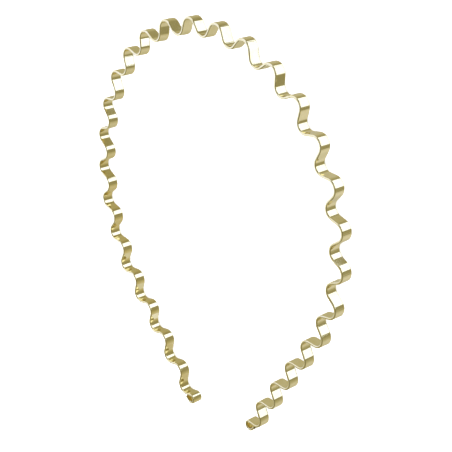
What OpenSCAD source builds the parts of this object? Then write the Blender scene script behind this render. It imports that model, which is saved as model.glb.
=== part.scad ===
// A wavy headband bent from one flat spring strip.
// The band lies on its side. Its loop is flat in X and Y with the crown towards +Y, and the
// strip stands on its lower edge, so its width runs up along Z from the surface it rests on.
// Bends are counted from the crown crest, which is bend 0. Even bends are outer crests, odd
// bends are inner ones. Headings are in degrees, clockwise from +X, for the right-hand side,
// and the left-hand side is worked out the same way and mirrored.

/* [Strip] */
// Width of the strip, which is the height of the band as it lies
strip_w = 3.9; // [2.8:0.1:6]
// Thickness of the strip
strip_t = 0.85; // [0.5:0.05:1.1]

/* [Wave] */
// Radius of every bend, to the middle of the thickness
bend_r = 2.95; // [2.7:0.05:3.2]
// Length of the straight flank between two bends
flank_l = 2.45; // [2:0.05:2.9]
// Angle between a flank and the run of the band
flank_angle = 61; // [57:0.5:64]
// Bends on each side after the crown crest, up to the last outer crest
bends = 28; // [24:2:28]

/* [Loop] */
// How far the run of the band turns at each bend of the crown
crown_turn = 6.05; // [5.8:0.05:6.2]
// Bends on each side that belong to the crown
crown_bends = 8; // [6:1:10]
// How far the run turns at each bend down the left side
left_turn = 5.84; // [5.5:0.02:5.9]
// The last bend that turns the run on the left, after which the leg is straight
left_last = 21; // [19:1:22]
// How far the run turns at each bend down the right side
right_turn = 6.45; // [6:0.05:6.5]
// The last bend that turns the run on the right, after which the leg is straight
right_last = 20; // [18:1:21]

/* [End eyes] */
// Radius of the eye at each end, to the middle of the thickness
eye_r = 1.55; // [1.4:0.05:1.7]
// Length of the straight strip between the last crest and the eye
eye_flank_l = 2.4; // [2:0.1:2.8]
// How far the strip turns round the eye
eye_turn = 232; // [226:1:240]
// Gap between the tip of the strip and the back of the last crest
tail_gap = 0.2; // [0.15:0.05:0.4]

/* [Hidden] */
LEFT = -1;
RIGHT = 1;
ARC_FACETS = 48;
// The pieces of strip are joined at this fraction of their size, where rounding leaves no gap.
JOIN_SCALE = 1 / 100;

// How far the run of the band has turned from the crown crest to the flank after bend i.
function run_turn(i, side) =
    let (turn = side == LEFT ? left_turn : right_turn, last = side == LEFT ? left_last : right_last)
    crown_turn * (0.5 + min(i, crown_bends)) + turn * max(0, min(i, last) - crown_bends);

// Heading of the flank after bend i.
function flank_heading(i, side) = (i % 2 == 0 ? flank_angle : -flank_angle) + run_turn(i, side);

// Unit vector of a heading, and the one square to it on the outer side of the strip.
function along(heading) = [cos(heading), -sin(heading)];
function outward(heading) = [sin(heading), cos(heading)];

// Centre of a bend, from a point on it and the heading there. An outer crest bends about a
// centre on the inner side of the strip, and an inner one about a centre on the outer side.
function bend_centre(p, heading, r, crest) = p + (crest ? -r : r) * outward(heading);

// Point where bend i ends, from the point where it starts.
function bend_end(p, i, side) =
    let (crest = i % 2 == 0, heading = i == 0 ? 0 : flank_heading(i - 1, side))
    bend_centre(p, heading, bend_r, crest) - (crest ? -bend_r : bend_r) * outward(flank_heading(i, side));

// Points where the flanks of one side start, each of which is where a bend ends.
function flank_starts(side) = [
    for (i = 0, p = bend_end([0, 0], 0, side); i <= bends;
        i = i + 1, p = bend_end(p + flank_l * along(flank_heading(i - 1, side)), i, side)) p
];
left_starts = flank_starts(LEFT);
right_starts = flank_starts(RIGHT);

// Centre of bend i of one side, and of its eye.
function centre(starts, i, side) =
    bend_centre(starts[i], flank_heading(i, side), bend_r, i % 2 == 0);
function eye_centre(starts, side) =
    let (heading = flank_heading(bends, side))
    bend_centre(starts[bends] + eye_flank_l * along(heading), heading, eye_r, false);

// The tail runs straight on from the eye, and its tip stops at the tail gap from the back of the
// last crest, measured at the tip's nearer corner.
function tail_heading(side) = flank_heading(bends, side) - eye_turn;
function tail_start(starts, side) =
    bend_centre(eye_centre(starts, side), tail_heading(side), eye_r, true);
function tail_length(starts, side) =
    let (to_crest = centre(starts, bends, side) - tail_start(starts, side),
        ahead = to_crest * along(tail_heading(side)),
        aside = abs(to_crest * outward(tail_heading(side))) - strip_t / 2)
    ahead - sqrt(pow(bend_r + strip_t / 2 + tail_gap, 2) - pow(aside, 2));

// How far the outer crests of one side reach from the middle of the crown.
function reach(starts, side) =
    max([for (i = [0 : 2 : bends]) centre(starts, i, side)[0]]) + bend_r + strip_t / 2;

// Middle of the outline, which is moved to the origin.
x_middle = (reach(right_starts, RIGHT) - reach(left_starts, LEFT)) / 2;
y_low = min(eye_centre(left_starts, LEFT)[1], eye_centre(right_starts, RIGHT)[1]) - eye_r - strip_t / 2;
y_middle = (strip_t / 2 + y_low) / 2;

// Draws at a point, reached by whole millimetres and then the rest.
module at(p) {
    whole = [round(p[0]), round(p[1])];
    scale(JOIN_SCALE) translate([whole[0], whole[1], 0])
        translate([p[0] - whole[0], p[1] - whole[1], 0]) children();
}

// A bent stretch of strip about a centre, between two headings.
module bent(centre, r, from, to, crest) {
    last = max(from, to);
    at(centre)
        rotate_extrude(angle = last - min(from, to), start = (crest ? 90 : 270) - last, $fn = ARC_FACETS)
            translate([r - strip_t / 2, 0]) square([strip_t, strip_w]);
}

// A straight stretch of strip from a point along a heading.
module straight(p, heading, length) {
    at(p) rotate([0, 0, -heading]) translate([0, -strip_t / 2, 0]) cube([length, strip_t, strip_w]);
}

// The eye at the end of one side, with the flank before it and the tail after it.
module eye(starts, side) {
    heading = flank_heading(bends, side);
    tail = tail_heading(side);
    straight(starts[bends], heading, eye_flank_l);
    bent(eye_centre(starts, side), eye_r, tail, heading, false);
    straight(tail_start(starts, side), tail, tail_length(starts, side));
}

// One side of the band, from the middle of the crown crest to its eye.
module half(starts, side) {
    bent(centre(starts, 0, side), bend_r, 0, flank_heading(0, side), true);
    for (i = [1 : bends]) {
        heading = flank_heading(i - 1, side);
        straight(starts[i - 1], heading, flank_l);
        bent(centre(starts, i, side), bend_r, heading, flank_heading(i, side), i % 2 == 0);
    }
    eye(starts, side);
}

module wave_band() {
    color("#b5a564") translate([-x_middle, -y_middle, 0]) scale(1 / JOIN_SCALE) {
        half(right_starts, RIGHT);
        mirror([1, 0, 0]) half(left_starts, LEFT);
    }
}

wave_band();
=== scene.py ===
import math

import bpy
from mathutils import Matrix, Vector


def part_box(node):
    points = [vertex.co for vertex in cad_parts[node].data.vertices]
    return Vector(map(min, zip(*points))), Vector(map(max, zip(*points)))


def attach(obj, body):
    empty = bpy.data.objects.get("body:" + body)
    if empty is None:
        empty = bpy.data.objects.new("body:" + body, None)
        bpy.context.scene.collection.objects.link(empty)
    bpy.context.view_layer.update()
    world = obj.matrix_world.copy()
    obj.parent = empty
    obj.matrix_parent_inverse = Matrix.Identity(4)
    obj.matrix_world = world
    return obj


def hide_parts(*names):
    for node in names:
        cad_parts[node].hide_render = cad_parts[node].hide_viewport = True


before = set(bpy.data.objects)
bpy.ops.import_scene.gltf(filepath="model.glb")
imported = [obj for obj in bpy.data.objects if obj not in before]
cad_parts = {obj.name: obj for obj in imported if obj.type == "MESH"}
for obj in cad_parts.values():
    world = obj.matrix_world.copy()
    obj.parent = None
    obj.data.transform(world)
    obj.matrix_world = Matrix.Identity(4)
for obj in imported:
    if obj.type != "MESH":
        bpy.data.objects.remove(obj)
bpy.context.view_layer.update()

# The band is one narrow strip of rolled spring steel with rounded edges, bent flatwise into an
# even wave, and the wave into a loop. Each end curls back into a small eye and stops just short
# of the last crest. The steel is polished and plated a pale gold.
MM = 0.001
STRIP_WIDTH = 3.9 * MM
STRIP_THICKNESS = 0.85 * MM
EDGE_RADIUS = 0.3 * MM
BEND_RADIUS = 2.95 * MM
FLANK_LENGTH = 2.45 * MM
FLANK_ANGLE = 61
LAST_BEND = 28
CROWN_TURN = 6.05
CROWN_BENDS = 8
SIDE_TURN = {"left": 5.84, "right": 6.45}
SIDE_LAST = {"left": 21, "right": 20}
EYE_RADIUS = 1.55 * MM
EYE_FLANK_LENGTH = 2.4 * MM
EYE_TURN = 232
TAIL_GAP = 0.2 * MM
BEND_STEP = 4
FLANK_PARTS = 2
EDGE_PARTS = 7


def flank_heading(bend, side):
    """Heading of the flank after a bend, in degrees clockwise from +X on the right side."""
    run = CROWN_TURN * (0.5 + min(bend, CROWN_BENDS))
    run += SIDE_TURN[side] * max(0, min(bend, SIDE_LAST[side]) - CROWN_BENDS)
    return run + (FLANK_ANGLE if bend % 2 == 0 else -FLANK_ANGLE)


def along(heading):
    return Vector((math.cos(math.radians(heading)), -math.sin(math.radians(heading))))


def outward(heading):
    return Vector((math.sin(math.radians(heading)), math.cos(math.radians(heading))))


def half_line(side):
    """The middle line of one side, from the crown crest to the tip, as points with headings."""
    line = [(Vector((0, 0)), 0.0)]

    def bend(to, radius, crest):
        start, heading = line[-1]
        reach = radius if crest else -radius
        centre = start - reach * outward(heading)
        steps = max(2, math.ceil(abs(to - heading) / BEND_STEP))
        for i in range(1, steps + 1):
            turned = heading + (to - heading) * i / steps
            line.append((centre + reach * outward(turned), turned))
        return centre

    def flank(length, parts=FLANK_PARTS):
        start, heading = line[-1]
        for i in range(1, parts + 1):
            line.append((start + length * i / parts * along(heading), heading))

    for i in range(LAST_BEND + 1):
        if i:
            flank(FLANK_LENGTH)
        crest_centre = bend(flank_heading(i, side), BEND_RADIUS, i % 2 == 0)
    flank(EYE_FLANK_LENGTH)
    bend(line[-1][1] - EYE_TURN, EYE_RADIUS, False)
    start, heading = line[-1]
    to_crest = crest_centre - start
    aside = abs(to_crest.dot(outward(heading))) - STRIP_THICKNESS / 2
    clear = BEND_RADIUS + STRIP_THICKNESS / 2 + TAIL_GAP
    flank(to_crest.dot(along(heading)) - math.sqrt(clear ** 2 - aside ** 2), 6)
    return line


# The middle line of the whole band from the left tip to the right one, with the outer side's
# direction at each point.
stations = [(Vector((-p.x, p.y)), Vector((-outward(h).x, outward(h).y)))
            for p, h in reversed(half_line("left"))]
stations += [(p, outward(h)) for p, h in half_line("right")[1:]]
lowest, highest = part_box("wave_band")
half = STRIP_THICKNESS / 2
x_low = min((p + n * s).x for p, n in stations for s in (-half, half))
x_high = max((p + n * s).x for p, n in stations for s in (-half, half))
y_high = max((p + n * half).y for p, n in stations)
shift = Vector(((lowest.x + highest.x) / 2 - (x_low + x_high) / 2, highest.y - y_high))

# The strip's section: its flat faces and its rounded edges, as offsets from the middle line
# towards the outer side and up, each with the way that the surface faces there.
section = []
for side_x, side_z, first in ((1, 1, 0), (-1, 1, 90), (-1, -1, 180), (1, -1, 270)):
    for i in range(EDGE_PARTS + 1):
        a = math.radians(first + 90 * i / EDGE_PARTS)
        centre_x = side_x * (half - EDGE_RADIUS)
        centre_z = side_z * (STRIP_WIDTH / 2 - EDGE_RADIUS)
        section.append((centre_x + EDGE_RADIUS * math.cos(a), centre_z + EDGE_RADIUS * math.sin(a),
                        math.cos(a), math.sin(a), math.sin(math.pi * i / EDGE_PARTS)))

verts, faces, normals, rubbed, lengths = [], [], [], [], [0.0]
count = len(section)
girth = [0.0]
for i in range(count):
    girth.append(girth[-1] + math.dist(section[i][:2], section[(i + 1) % count][:2]))
for k, (p, n) in enumerate(stations):
    if k:
        lengths.append(lengths[-1] + (p - stations[k - 1][0]).length)
    for u, z, nu, nz, corner in section:
        q = p + shift + n * u
        verts.append((q.x, q.y, z + STRIP_WIDTH / 2))
        normals.append((n.x * nu, n.y * nu, nz))
        rubbed.append(corner)
for k in range(len(stations) - 1):
    for i in range(count):
        j = (i + 1) % count
        a, b = k * count, (k + 1) * count
        faces.append((a + i, a + j, b + j, b + i))
faces.append(tuple(reversed(range(count))))
faces.append(tuple((len(stations) - 1) * count + i for i in range(count)))
mesh = bpy.data.meshes.new("wave_strip")
mesh.from_pydata(verts, [], faces)
mesh.update()

# Coordinates for the rolling marks, in strip widths along the strip and round its section, and
# how far each point is on a rounded edge, where the plate is rubbed.
marks = mesh.uv_layers.new(name="rolling")
for polygon in mesh.polygons:
    for loop in polygon.loop_indices:
        station, place = divmod(mesh.loops[loop].vertex_index, count)
        if polygon.index % count == count - 1 and place == 0 and len(polygon.vertices) == 4:
            place = count
        marks.data[loop].uv = (lengths[station] / STRIP_WIDTH, girth[place] / STRIP_WIDTH)
mesh.attributes.new("rubbed", "FLOAT", "POINT").data.foreach_set("value", rubbed)
for polygon in mesh.polygons:
    polygon.use_smooth = True
mesh.normals_split_custom_set_from_vertices(normals)

band = bpy.data.objects.new("wave_strip", mesh)
bpy.context.scene.collection.objects.link(band)

gold = bpy.data.materials.new("pale_gold_plate")
gold.use_nodes = True
nodes, links = gold.node_tree.nodes, gold.node_tree.links
shader = nodes["Principled BSDF"]
shader.inputs["Metallic"].default_value = 1.0
mesh.materials.append(gold)


def gold_node(kind, inputs=(), **settings):
    """A node of the gold, with its settings, and with its inputs set or linked."""
    node = nodes.new(kind)
    for key, value in settings.items():
        setattr(node, key, value)
    for key, value in inputs:
        if isinstance(value, bpy.types.NodeSocket):
            links.new(value, node.inputs[key])
        else:
            node.inputs[key].default_value = value
    return node


def gold_range(value, low, high, to_low, to_high):
    """A value taken from one range to another."""
    return gold_node("ShaderNodeMapRange", [
        ("Value", value), ("From Min", low), ("From Max", high), ("To Min", to_low),
        ("To Max", to_high)]).outputs[0]


# Rolling leaves fine lines along the strip, about two millimetres long and a tenth wide.
along_strip = gold_node("ShaderNodeUVMap", uv_map="rolling").outputs[0]
stretched = gold_node("ShaderNodeMapping", [("Vector", along_strip), ("Scale", (2.0, 45.0, 1.0))])
lines = gold_node("ShaderNodeTexNoise", [("Vector", stretched.outputs[0]), ("Scale", 1.0),
                                         ("Detail", 3.0)]).outputs[0]
# Bending leaves the faces slightly uneven, over a few millimetres.
position = gold_node("ShaderNodeTexCoord").outputs["Object"]
uneven = gold_node("ShaderNodeTexNoise", [("Vector", position), ("Scale", 260.0),
                                          ("Detail", 1.0)]).outputs[0]
# Handling dulls the plate in soft patches, and rubs its corners pale in places.
patches = gold_node("ShaderNodeTexNoise", [("Vector", position), ("Scale", 420.0),
                                           ("Detail", 4.0), ("Roughness", 0.6)]).outputs[0]
corner = gold_node("ShaderNodeAttribute", attribute_name="rubbed").outputs["Fac"]
rub = gold_range(patches, 0.48, 0.66, 0.0, 1.0)
wear = gold_node("ShaderNodeMath", [(0, corner), (1, rub)], operation="MULTIPLY").outputs[0]

tone = gold_node("ShaderNodeMix", [
    (0, gold_range(patches, 0.35, 0.65, 0.0, 1.0)), (6, (0.845, 0.742, 0.41, 1)),
    (7, (0.875, 0.786, 0.478, 1))], data_type="RGBA").outputs[2]
worn_tone = gold_node("ShaderNodeMix", [
    (0, gold_range(wear, 0.0, 1.0, 0.0, 0.4)), (6, tone), (7, (0.86, 0.84, 0.72, 1))],
    data_type="RGBA").outputs[2]
links.new(worn_tone, shader.inputs["Base Color"])
dull = gold_range(patches, 0.3, 0.7, 0.03, 0.075)
scratched = gold_node("ShaderNodeMath", [(0, dull), (1, gold_range(lines, 0.55, 0.75, 0.0, 0.05))],
                      operation="ADD").outputs[0]
worn = gold_node("ShaderNodeMath", [(0, wear), (1, 0.12), (2, scratched)],
                 operation="MULTIPLY_ADD").outputs[0]
links.new(worn, shader.inputs["Roughness"])
wavy = gold_node("ShaderNodeBump", [("Height", uneven), ("Strength", 1.0),
                                    ("Distance", 0.007 * MM)]).outputs[0]
lined = gold_node("ShaderNodeBump", [("Height", lines), ("Strength", 0.5),
                                     ("Distance", 0.001 * MM), ("Normal", wavy)]).outputs[0]
links.new(lined, shader.inputs["Normal"])

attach(band, "root")
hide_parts("wave_band")

# The floor is one wide sheet of plain white card, which the band lies on. The polished metal
# doesn't mirror it.
FLOOR_REACH = 3
floor_mesh = bpy.data.meshes.new("floor")
floor_mesh.from_pydata([(x * FLOOR_REACH, y * FLOOR_REACH, 0) for x, y in (
    (-1, -1), (1, -1), (1, 1), (-1, 1))], [], [(0, 1, 2, 3)])
floor = bpy.data.objects.new("floor", floor_mesh)
bpy.context.scene.collection.objects.link(floor)
card = bpy.data.materials.new("white_card")
card.use_nodes = True
card.node_tree.nodes["Principled BSDF"].inputs["Base Color"].default_value = (0.9, 0.9, 0.9, 1)
card.node_tree.nodes["Principled BSDF"].inputs["Roughness"].default_value = 0.9
floor_mesh.materials.append(card)
floor.visible_glossy = False

# The light is a tent of cloth, which lights the card evenly. The polished metal sees the tent's
# own shades, round it and from below to above.
world = bpy.data.worlds.new("tent")
bpy.context.scene.world = world
world.use_nodes = True
tree = world.node_tree
tree.nodes.clear()
coordinates = tree.nodes.new("ShaderNodeTexCoord")
split = tree.nodes.new("ShaderNodeSeparateXYZ")
tree.links.new(coordinates.outputs["Generated"], split.inputs[0])
azimuth = tree.nodes.new("ShaderNodeMath")
azimuth.operation = "ARCTAN2"
tree.links.new(split.outputs["Y"], azimuth.inputs[0])
tree.links.new(split.outputs["X"], azimuth.inputs[1])
turn = tree.nodes.new("ShaderNodeMapRange")
turn.inputs["From Min"].default_value = -math.pi
turn.inputs["From Max"].default_value = math.pi
tree.links.new(azimuth.outputs[0], turn.inputs["Value"])


def ramp(factor, stops):
    """A colour ramp from places between 0 and 1 and their colours."""
    node = tree.nodes.new("ShaderNodeValToRGB")
    elements = node.color_ramp.elements
    elements.remove(elements[1])
    for i, (place, color) in enumerate(stops):
        element = elements[0] if i == 0 else elements.new(place)
        element.position = place
        element.color = tuple(color) + (1,)
    tree.links.new(factor, node.inputs[0])
    return node.outputs[0]


def ring(shades):
    """The tent's shade all round, from azimuths in degrees."""
    return ramp(turn.outputs[0], [((a + 180) / 360, (shade / BRIGHTEST,) * 3) for a, shade in shades])


def rise(lower, upper, start, end):
    """One ring that passes into another as the view rises from one elevation to another."""
    height = tree.nodes.new("ShaderNodeMapRange")
    height.inputs["From Min"].default_value = math.sin(math.radians(start))
    height.inputs["From Max"].default_value = math.sin(math.radians(end))
    tree.links.new(split.outputs["Z"], height.inputs["Value"])
    mix = tree.nodes.new("ShaderNodeMix")
    mix.data_type = "RGBA"
    tree.links.new(height.outputs[0], mix.inputs[0])
    tree.links.new(lower, mix.inputs[6])
    tree.links.new(upper, mix.inputs[7])
    return mix.outputs[2]


BRIGHTEST = 3.5
# Low down, the tent is brightest beyond the band's open end and dim behind the camera.
deep = ring([(-180, 0.55), (-130, 0.55), (-65, 0.8), (-5, 0.35), (85, 0.35), (125, 0.6), (180, 0.55)])
middle = ring([(-180, 0.5), (-110, 0.6), (-60, 0.7), (-5, 0.35), (85, 0.35), (125, 0.55), (180, 0.5)])
low = ring([(-180, 0.45), (-140, 0.55), (-60, 0.65), (-5, 0.35), (85, 0.35), (125, 0.5), (180, 0.45)])
horizon = ring([(-180, 0.40), (-152, 0.25), (-150, 3.5), (-125, 3.5), (-123, 0.25), (-80, 0.60),
                (-40, 0.50), (8, 0.25), (10, 3.5), (42, 3.5), (44, 0.25), (90, 0.30), (125, 0.60),
                (180, 0.40)])
upper = ring([(-180, 2.0), (-158, 2.0), (-150, 0.55), (-140, 0.40), (-120, 0.25), (78, 0.22),
              (88, 2.0), (180, 2.0)])
top = ring([(-180, 0.25), (180, 0.25)])
shade = rise(rise(deep, middle, -42, -38.5), low, -33.5, -31)
shade = rise(rise(rise(shade, horizon, -28, -22), upper, 2, 10), top, 55, 64)
# Thin cloth is a warm grey, and bright cloth is white.
cloth = ramp(shade, [(level / BRIGHTEST, tuple(c / BRIGHTEST for c in color)) for level, color in (
    (0, (0, 0, 0)), (0.35, (0.35, 0.333, 0.21)), (0.51, (0.51, 0.485, 0.35)),
    (0.78, (0.78, 0.77, 0.75)), (2.0, (1.06, 1.14, 1.5)),
    (3.5, (1.5, 1.68, 2.25)))])
# The cloth from just above the table up to the horizon is dyed a shade warmer.
warm = tree.nodes.new("ShaderNodeMix")
warm.data_type = "RGBA"
warm.blend_type = "MULTIPLY"
warm.inputs[0].default_value = 1.0
warm.inputs[7].default_value = (1.0, 0.94, 0.74, 1)
tree.links.new(cloth, warm.inputs[6])
cloth = rise(rise(cloth, warm.outputs[2], -31, -30.3), cloth, -4, 2)
seen = tree.nodes.new("ShaderNodeBackground")
tree.links.new(cloth, seen.inputs["Color"])
seen.inputs["Strength"].default_value = BRIGHTEST
plain = tree.nodes.new("ShaderNodeBackground")
plain.inputs["Color"].default_value = (1, 1, 1, 1)
plain.inputs["Strength"].default_value = 3.0
path = tree.nodes.new("ShaderNodeLightPath")
mix = tree.nodes.new("ShaderNodeMixShader")
tree.links.new(path.outputs["Is Glossy Ray"], mix.inputs[0])
tree.links.new(plain.outputs[0], mix.inputs[1])
tree.links.new(seen.outputs[0], mix.inputs[2])
output = tree.nodes.new("ShaderNodeOutputWorld")
tree.links.new(mix.outputs[0], output.inputs["Surface"])

# The metal alone sees some flat panels beside the tent. A soft box makes the white bars on the
# bends, and a far light and a small card make bars on flanks that it misses. A black flag below
# the box's near end makes dark stripes, and two pale cards brighten flanks of the left leg.
def panel(name, end, heading, outline, color):
    """An upright panel, with its outline as distances from one end and heights."""
    away = Vector((math.cos(math.radians(heading)), math.sin(math.radians(heading))))
    corners = [(*(end + distance * away), height) for distance, height in outline]
    sheet = bpy.data.meshes.new(name)
    sheet.from_pydata(corners, [], [tuple(range(len(corners)))])
    board = bpy.data.objects.new(name, sheet)
    bpy.context.scene.collection.objects.link(board)
    glow = bpy.data.materials.new(name + "_glow")
    glow.use_nodes = True
    glow.node_tree.nodes.clear()
    emission = glow.node_tree.nodes.new("ShaderNodeEmission")
    emission.inputs["Color"].default_value = color + (1,)
    surface = glow.node_tree.nodes.new("ShaderNodeOutputMaterial")
    glow.node_tree.links.new(emission.outputs[0], surface.inputs["Surface"])
    sheet.materials.append(glow)
    board.visible_camera = False
    board.visible_diffuse = False
    board.visible_shadow = False


BOX_END = Vector((0.1837, 0.0))
BOX_HEADING = 111.8
BOX_COLOR = (1.5, 1.68, 2.25)
FLAG_COLOR = (0.34, 0.323, 0.204)
panel("soft_box", BOX_END, BOX_HEADING,
      [(0.028, -0.088), (0.028, -0.121), (0.083, -0.119), (0.067, -0.140), (0.067, -0.5),
       (0.224, -0.5), (0.224, -0.180), (0.300, -0.204), (0.345, -0.213), (0.325, -0.190),
       (0.290, -0.168), (0.244, -0.156), (0.242, -0.088)], BOX_COLOR)
panel("far_light", Vector((2.983, 0.314)), 99,
      [(0, -2.35), (0.290, -2.35), (0.290, -1.88), (0, -1.88)], BOX_COLOR)
panel("small_card", Vector((0.0326, 0.0426)), 77.3,
      [(0.003, -0.0465), (0.010, -0.0465), (0.010, -0.0345), (0.003, -0.0345)], BOX_COLOR)
panel("black_flag", BOX_END, BOX_HEADING,
      [(0, -0.1225), (-0.054, -0.1225), (-0.054, -0.160), (-0.135, -0.160), (-0.135, -0.26),
       (0, -0.26)], FLAG_COLOR)
panel("pale_card", Vector((-0.080, -0.200)), 0,
      [(0, -0.106), (0.105, -0.106), (0.105, -0.0975), (0, -0.0975)], (0.73, 0.72, 0.66))
panel("bright_card", Vector((-0.010, -0.200)), 0,
      [(0, -0.0975), (0.030, -0.0975), (0.030, -0.0905), (0, -0.0905)], (0.92, 0.94, 1.05))

# The camera is about a third of a metre off, to the right of the crown, with a short telephoto
# lens. It looks down across the loop and is tilted so that the crown is at the top.
CAMERA_PLACE = (0.246714, 0.104488, 0.188966)
CAMERA_ANGLES = (-23.9823, 50.1339, -7.1375)
CAMERA_LENS = 78.674
camera_data = bpy.data.cameras.new("camera")
camera_data.sensor_width = 36
camera_data.lens = CAMERA_LENS
camera_data.clip_start = 0.01
camera = bpy.data.objects.new("camera", camera_data)
bpy.context.scene.collection.objects.link(camera)
camera.location = CAMERA_PLACE
camera.rotation_euler = [math.radians(angle) for angle in CAMERA_ANGLES]
bpy.context.scene.camera = camera
bpy.context.scene.view_settings.view_transform = "Standard"
